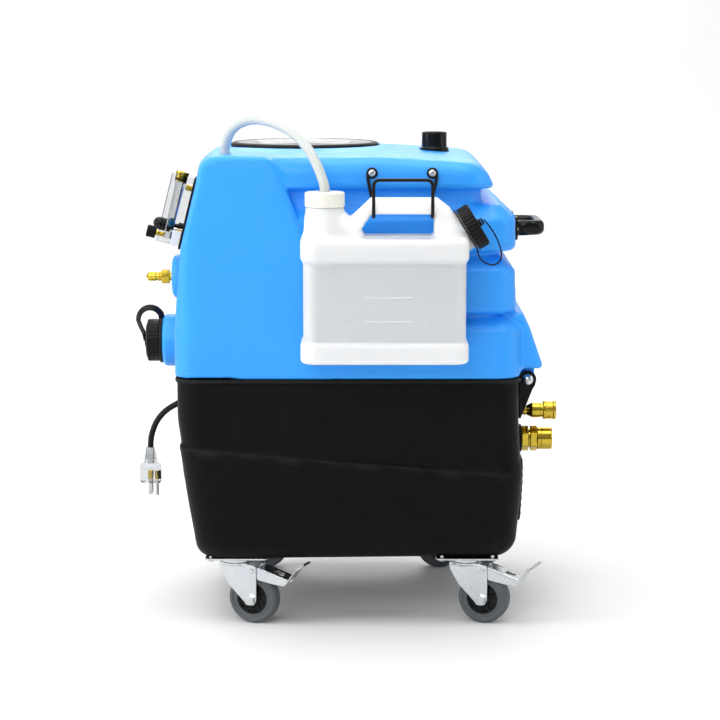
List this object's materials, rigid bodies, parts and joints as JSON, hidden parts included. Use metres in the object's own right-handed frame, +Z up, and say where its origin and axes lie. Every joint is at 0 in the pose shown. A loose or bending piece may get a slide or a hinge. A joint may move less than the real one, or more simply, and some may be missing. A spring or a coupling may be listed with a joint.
{
  "type": "carpet cleaner machine",
  "caption": "Portable carpet extractor: tilting tank on a wheeled base with braked swivel casters, hung chemical jug, flow meter and quick-connect fittings.",
  "frame": {"origin": "centre of the machine's bounding box, without its free cords, at floor level", "axes": "+X to the rear, where the tank's hinge and the hose fittings are; -Y to the side where the jug hangs; +Z up"},
  "size_m": [0.642, 0.54, 0.746],
  "materials": {
    "blue_pe": "rotomoulded, fine satin skin",
    "black_pe": "rotomoulded, fine grain",
    "black_plastic": "satin moulded",
    "black_gloss": "smooth moulded",
    "black_rubber": "matte",
    "zinc": "zinc plated",
    "steel": "satin",
    "brass": "turned",
    "wire_black": "powder coated",
    "natural_pe": "translucent natural",
    "ivory": "satin moulded",
    "clear": "clear acrylic",
    "clear_pvc": "braided hose",
    "lid_grey": "smoked clear sheet",
    "teal": "float",
    "red_switch": "rocker",
    "tyre_grey": "thermoplastic rubber",
    "motor_grey": "satin",
    "box_grey": "satin"
  },
  "bodies": {
    "base": {"base_shell": "black_pe", "hinge_ears": "black_plastic", "base_fasteners": "zinc", "vent_grille": "black_plastic", "rear_flange": "black_plastic", "coupler_plate": "steel", "coupler_body": "brass", "hose_fitting": "brass", "cord_gland": "black_plastic", "caster_plates": "zinc", "vacuum_motors": "motor_grey", "solution_pump": "motor_grey", "power_box": "box_grey", "power_cord": "black_rubber", "plug": "clear"},
    "coupler_sleeve": {"coupler_sleeve": "brass"},
    "hose_nut": {"hose_nut": "brass"},
    "tank": {"tank_shell": "blue_pe", "standpipe": "natural_pe", "filter_basket": "steel", "vacuum_port": "black_gloss", "rear_handle": "black_gloss", "jug_rack": "wire_black", "tank_fasteners": "steel", "control_panel": "black_plastic", "flow_meter": "clear", "meter_fittings": "brass", "front_connect": "brass", "drain_neck": "black_gloss", "drain_strap": "black_rubber"},
    "meter_float": {"meter_float": "teal"},
    "flow_knob": {"flow_knob": "black_plastic"},
    "regulator_knob": {"regulator_knob": "black_plastic"},
    "vacuum_switch": {"vacuum_switch": "red_switch"},
    "pump_switch": {"pump_switch": "black_gloss"},
    "drain_cap": {"drain_cap": "black_gloss"},
    "lid": {"lid": "lid_grey", "lid_rim": "black_rubber"},
    "jug": {"jug": "natural_pe", "dip_tube": "natural_pe", "fill_cap_strap": "black_rubber", "chemical_hose": "clear_pvc"},
    "dose_cap": {"dose_cap": "ivory"},
    "fill_cap": {"fill_cap": "black_gloss"},
    "fork_1": {"fork_1": "zinc"},
    "wheel_1": {"hub_1": "black_plastic", "tyre_1": "tyre_grey"},
    "pedal_1": {"pedal_1": "zinc"},
    "fork_2": {"fork_2": "zinc"},
    "wheel_2": {"hub_2": "black_plastic", "tyre_2": "tyre_grey"},
    "pedal_2": {"pedal_2": "zinc"},
    "fork_3": {"fork_3": "zinc"},
    "wheel_3": {"hub_3": "black_plastic", "tyre_3": "tyre_grey"},
    "pedal_3": {"pedal_3": "zinc"},
    "fork_4": {"fork_4": "zinc"},
    "wheel_4": {"hub_4": "black_plastic", "tyre_4": "tyre_grey"},
    "pedal_4": {"pedal_4": "zinc"}
  },
  "joints": [
    {"name": "tank_tilt", "type": "hinge", "parent": "base", "child": "tank", "pos_m": [0.266, 0.055, 0.358], "axis": [0, 1, 0], "range_deg": [0, 75]},
    {"name": "coupler_sleeve_slide", "type": "slide", "parent": "base", "child": "coupler_sleeve", "axis": [-1, 0, 0], "range_m": [0, 0.0035], "stiffness_N_per_m": 800, "springref_m": -0.002},
    {"name": "hose_nut_turn", "type": "hinge", "parent": "base", "child": "hose_nut", "pos_m": [0.305, 0.055, 0.243], "axis": [1, 0, 0], "continuous": true},
    {"name": "meter_float_rise", "type": "slide", "parent": "tank", "child": "meter_float", "axis": [0.2419, 0, 0.9703], "range_m": [0, 0.05]},
    {"name": "flow_knob_turn", "type": "hinge", "parent": "tank", "child": "flow_knob", "pos_m": [-0.29287, -0.015, 0.56921], "axis": [-0.9703, 0, 0.2419], "range_deg": [-180, 180]},
    {"name": "regulator_knob_turn", "type": "hinge", "parent": "tank", "child": "regulator_knob", "pos_m": [-0.26134, 0.035, 0.57166], "axis": [-0.9703, 0, 0.2419], "range_deg": [-150, 150]},
    {"name": "vacuum_switch_rock", "type": "hinge", "parent": "tank", "child": "vacuum_switch", "pos_m": [-0.23855, 0.093, 0.58865], "axis": [0, 1, 0], "range_deg": [-8, 8]},
    {"name": "pump_switch_rock", "type": "hinge", "parent": "tank", "child": "pump_switch", "pos_m": [-0.23855, 0.131, 0.58865], "axis": [0, 1, 0], "range_deg": [-8, 8]},
    {"name": "drain_cap_turn", "type": "hinge", "parent": "tank", "child": "drain_cap", "pos_m": [-0.3, 0.055, 0.396], "axis": [-1, 0, 0], "range_deg": [0, 180]},
    {"name": "lid_lift", "type": "slide", "parent": "tank", "child": "lid", "axis": [0, 0, 1], "range_m": [0, 0.12]},
    {"name": "jug_lift", "type": "slide", "parent": "tank", "child": "jug", "axis": [0, 0, 1], "range_m": [0, 0.02]},
    {"name": "dose_cap_turn", "type": "hinge", "parent": "jug", "child": "dose_cap", "pos_m": [-0.03, -0.2165, 0.632], "axis": [0, 0, 1], "range_deg": [0, 180]},
    {"name": "fill_cap_turn", "type": "hinge", "parent": "jug", "child": "fill_cap", "pos_m": [0.165, -0.2165, 0.5848], "axis": [0.8545, 0, 0.5195], "range_deg": [0, 180]},
    {"name": "swivel_1", "type": "hinge", "parent": "base", "child": "fork_1", "pos_m": [-0.162, -0.118, 0.09], "axis": [0, 0, 1], "continuous": true},
    {"name": "wheel_spin_1", "type": "hinge", "parent": "fork_1", "child": "wheel_1", "pos_m": [-0.13569, -0.12758, 0.0375], "axis": [0.342, 0.9397, 0], "continuous": true},
    {"name": "brake_1", "type": "hinge", "parent": "fork_1", "child": "pedal_1", "pos_m": [-0.13381, -0.12826, 0.0803], "axis": [0.342, 0.9397, 0], "range_deg": [0, 14]},
    {"name": "swivel_2", "type": "hinge", "parent": "base", "child": "fork_2", "pos_m": [0.177, -0.118, 0.09], "axis": [0, 0, 1], "continuous": true},
    {"name": "wheel_spin_2", "type": "hinge", "parent": "fork_2", "child": "wheel_2", "pos_m": [0.20331, -0.12758, 0.0375], "axis": [0.342, 0.9397, 0], "continuous": true},
    {"name": "brake_2", "type": "hinge", "parent": "fork_2", "child": "pedal_2", "pos_m": [0.20519, -0.12826, 0.0803], "axis": [0.342, 0.9397, 0], "range_deg": [0, 14]},
    {"name": "swivel_3", "type": "hinge", "parent": "base", "child": "fork_3", "pos_m": [-0.162, 0.228, 0.09], "axis": [0, 0, 1], "continuous": true},
    {"name": "wheel_spin_3", "type": "hinge", "parent": "fork_3", "child": "wheel_3", "pos_m": [-0.134, 0.228, 0.0375], "axis": [0, 1, 0], "continuous": true},
    {"name": "brake_3", "type": "hinge", "parent": "fork_3", "child": "pedal_3", "pos_m": [-0.132, 0.228, 0.0803], "axis": [0, 1, 0], "range_deg": [0, 14]},
    {"name": "swivel_4", "type": "hinge", "parent": "base", "child": "fork_4", "pos_m": [0.177, 0.228, 0.09], "axis": [0, 0, 1], "continuous": true},
    {"name": "wheel_spin_4", "type": "hinge", "parent": "fork_4", "child": "wheel_4", "pos_m": [0.149, 0.228, 0.0375], "axis": [0, -1, 0], "continuous": true},
    {"name": "brake_4", "type": "hinge", "parent": "fork_4", "child": "pedal_4", "pos_m": [0.147, 0.228, 0.0803], "axis": [0, -1, 0], "range_deg": [0, 14]}
  ]
}
